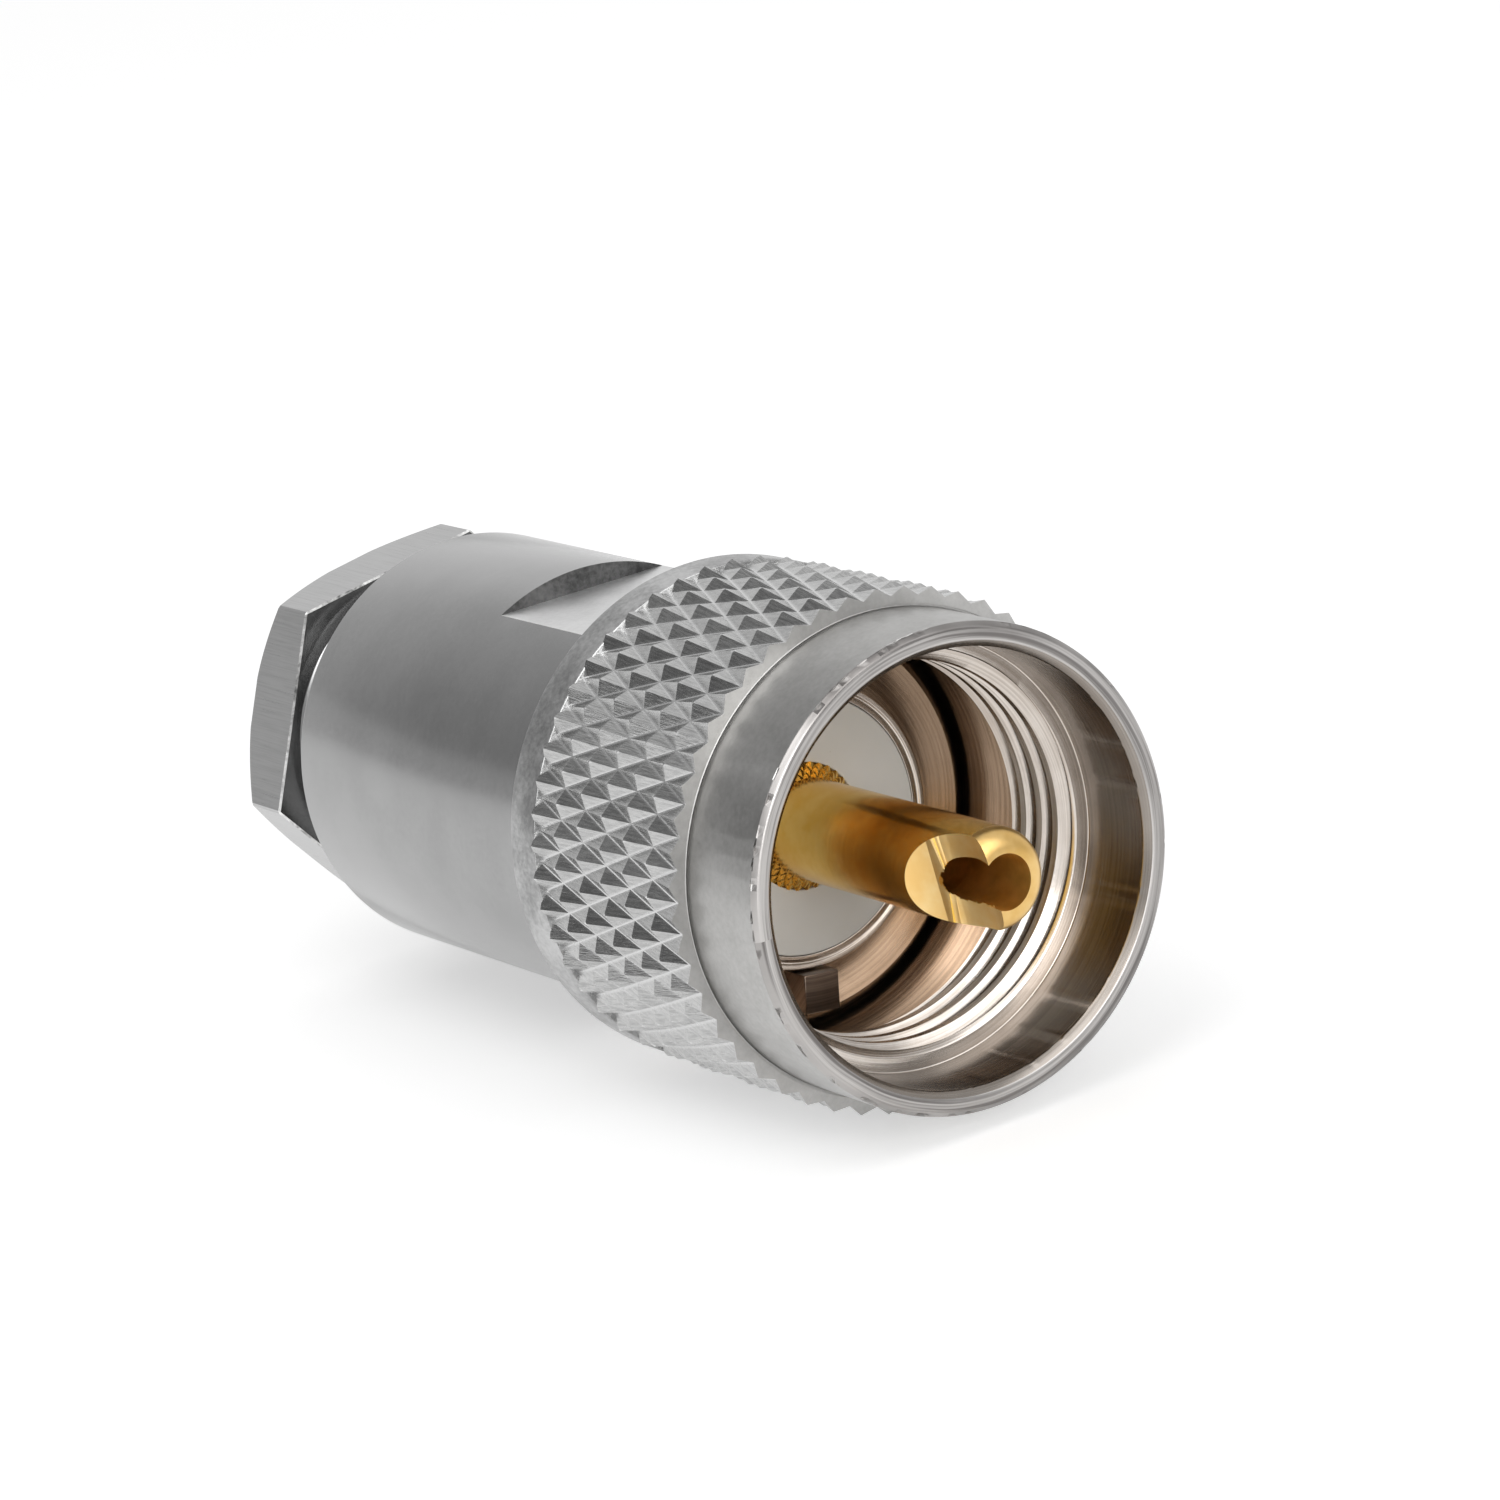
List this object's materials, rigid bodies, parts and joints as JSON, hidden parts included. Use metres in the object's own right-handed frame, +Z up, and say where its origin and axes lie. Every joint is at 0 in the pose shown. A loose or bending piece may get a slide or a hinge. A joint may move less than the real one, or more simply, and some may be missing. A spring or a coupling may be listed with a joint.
{
  "type": "uhf twist-on plug",
  "caption": "Coaxial UHF cable plug: knurled screw-on coupling ring, hollow centre pin in a white insulator, and a hexagonal clamping nut at the cable end.",
  "frame": {"origin": "on the plug's axis at the foot of the centre pin, at the front face of the pin's knurled collar", "axes": "+X along the plug's axis, out of the mouth; +Z up with the plug lying on its side"},
  "size_m": [0.0453, 0.0202, 0.0202],
  "materials": {
    "nickel_plate": "satin nickel plate on turned brass",
    "gold_plate": "gold plate on turned brass",
    "insulator_white": "smooth off-white fluoroplastic",
    "gasket_rubber": "matt black rubber"
  },
  "bodies": {
    "plug_body": {"front_shell": "nickel_plate", "insulator": "insulator_white", "centre_pin": "gold_plate", "rear_barrel": "nickel_plate", "braid_clamp": "nickel_plate", "gasket": "gasket_rubber"},
    "ring": {"coupling_ring": "nickel_plate"},
    "washer": {"clamp_washer": "nickel_plate"},
    "nut": {"clamp_nut": "nickel_plate"}
  },
  "joints": [
    {"name": "ring_spin", "type": "hinge", "parent": "plug_body", "child": "ring", "pos_m": [0, 0, 0], "axis": [1, 0, 0], "continuous": true},
    {"name": "nut_travel", "type": "slide", "parent": "plug_body", "child": "washer", "axis": [-1, 0, 0], "range_m": [-0.00305, 0.00455]},
    {"name": "nut_turn", "type": "hinge", "parent": "washer", "child": "nut", "pos_m": [-0.03, 0, 0], "axis": [-1, 0, 0], "range_deg": [-1080, 1620]}
  ],
  "couplings": [
    {"joint": "nut_travel", "follows": "nut_turn", "m_per_rad": 0.00015915}
  ]
}
